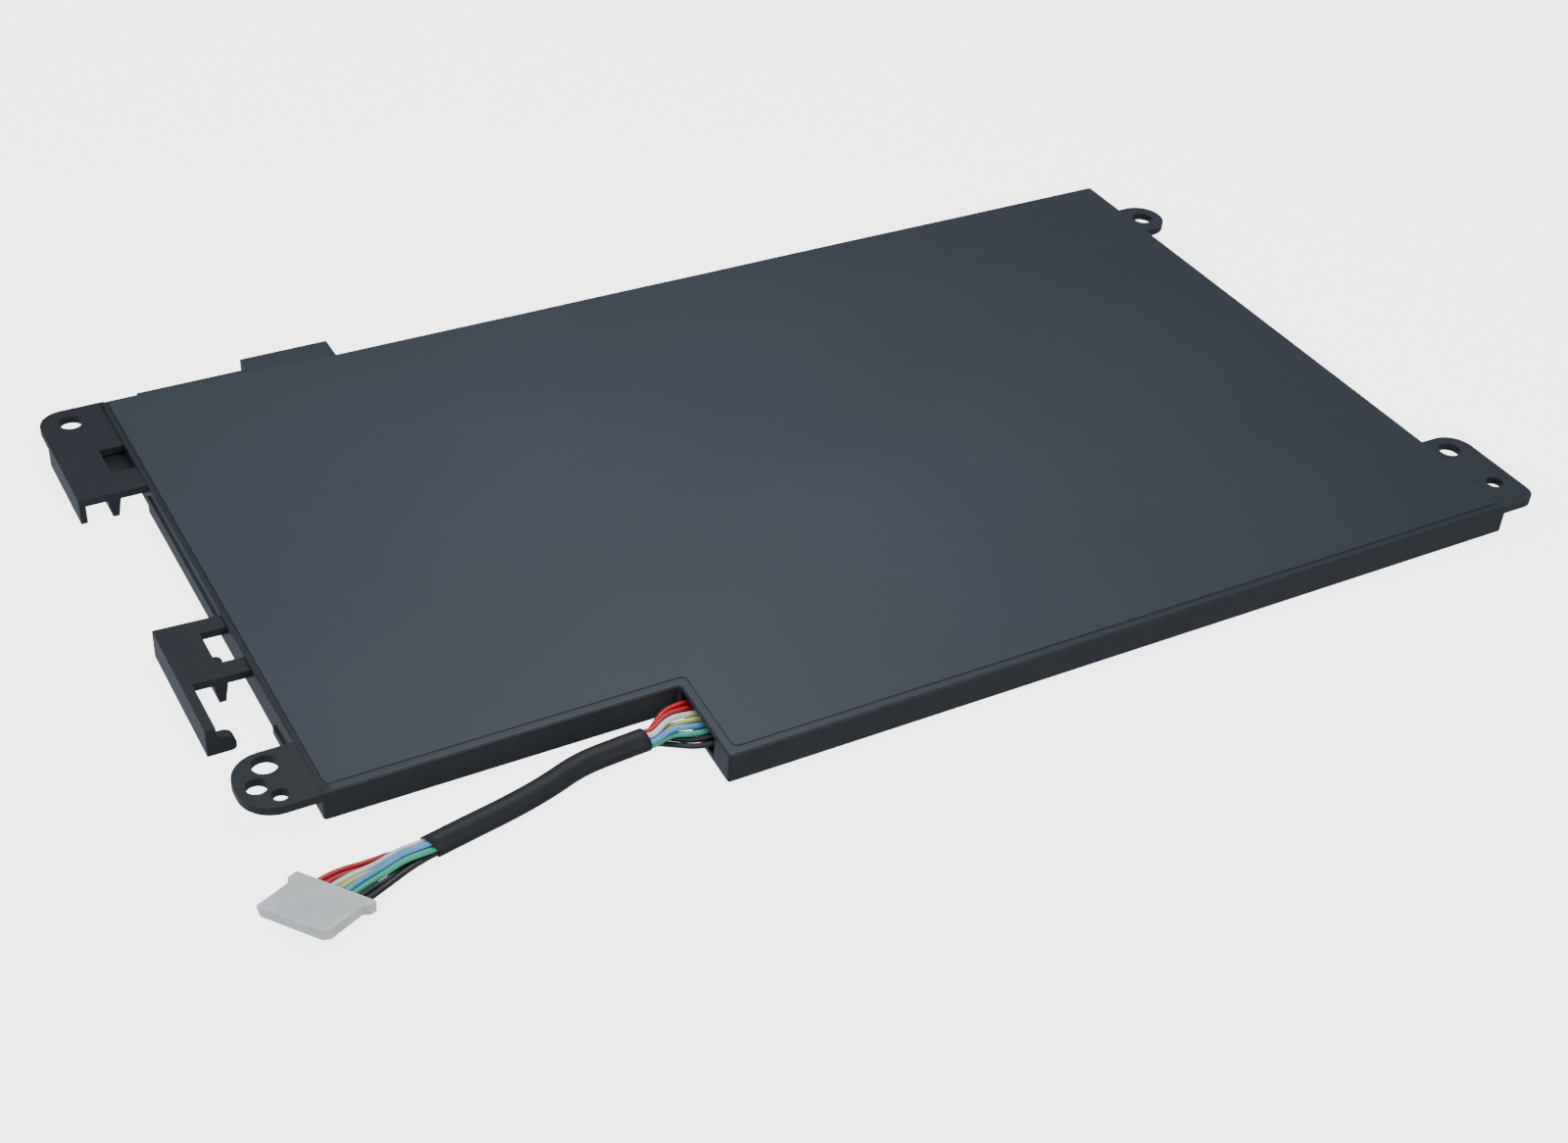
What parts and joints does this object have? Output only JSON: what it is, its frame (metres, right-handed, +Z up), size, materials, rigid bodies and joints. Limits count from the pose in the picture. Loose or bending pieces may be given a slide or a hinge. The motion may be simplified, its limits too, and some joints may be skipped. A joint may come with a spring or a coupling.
{
  "type": "laptop battery",
  "caption": "Flat internal laptop battery: pouch cells and a circuit board in a thin moulded frame with screw ears and clip brackets, covered by films, with a short sleeved lead and white plug.",
  "frame": {"origin": "middle of the pack's footprint, lead left out, on the underside of the lower film", "axes": "+X along the pack towards the two right-hand ears, +Y towards the back wall and its tab, +Z up through the top film"},
  "size_m": [0.2229, 0.1337, 0.0054],
  "materials": {
    "frame_plastic": "fine-grained moulded black",
    "film": "satin dark grey film",
    "under_film": "satin black film",
    "pouch_foil": "satin foil",
    "adhesive": "soft white",
    "tab_metal": "bare nickel",
    "tape": "amber film",
    "board": "lacquered green",
    "chip_body": "moulded black",
    "resistor_body": "glazed black",
    "capacitor_body": "glazed tan",
    "fuse_body": "glazed white",
    "solder": "bright solder",
    "insulator": "translucent sheet",
    "wire_red": "satin insulation",
    "wire_white": "satin insulation",
    "wire_yellow": "satin insulation",
    "wire_blue": "satin insulation",
    "wire_green": "satin insulation",
    "wire_black": "satin insulation",
    "sleeve": "matt tubing",
    "plug": "natural nylon",
    "contact": "tinned"
  },
  "bodies": {
    "root": {"board_insulator": "insulator", "bottom_film": "under_film", "cable_sleeve": "sleeve", "cell_left": "pouch_foil", "cell_middle": "pouch_foil", "cell_right": "pouch_foil", "cell_tape_left": "adhesive", "cell_tape_middle": "adhesive", "cell_tape_right": "adhesive", "ceramic_capacitors": "capacitor_body", "chip_fuse": "fuse_body", "chip_resistors": "resistor_body", "connector_housing": "plug", "connector_terminals": "contact", "frame": "frame_plastic", "gauge_chip": "chip_body", "protection_board": "board", "sense_resistor": "resistor_body", "solder_joints": "solder", "switch_transistors": "chip_body", "tab_left_minus": "tab_metal", "tab_left_plus": "tab_metal", "tab_middle_minus": "tab_metal", "tab_middle_plus": "tab_metal", "tab_right_minus": "tab_metal", "tab_right_plus": "tab_metal", "tab_tape_left": "tape", "tab_tape_middle": "tape", "tab_tape_right": "tape", "thermistor": "resistor_body", "top_film": "film", "weld_pads": "tab_metal", "wire_black_back": "wire_black", "wire_black_front": "wire_black", "wire_blue": "wire_blue", "wire_green": "wire_green", "wire_red_back": "wire_red", "wire_red_front": "wire_red", "wire_white": "wire_white", "wire_yellow": "wire_yellow"}
  },
  "joints": []
}
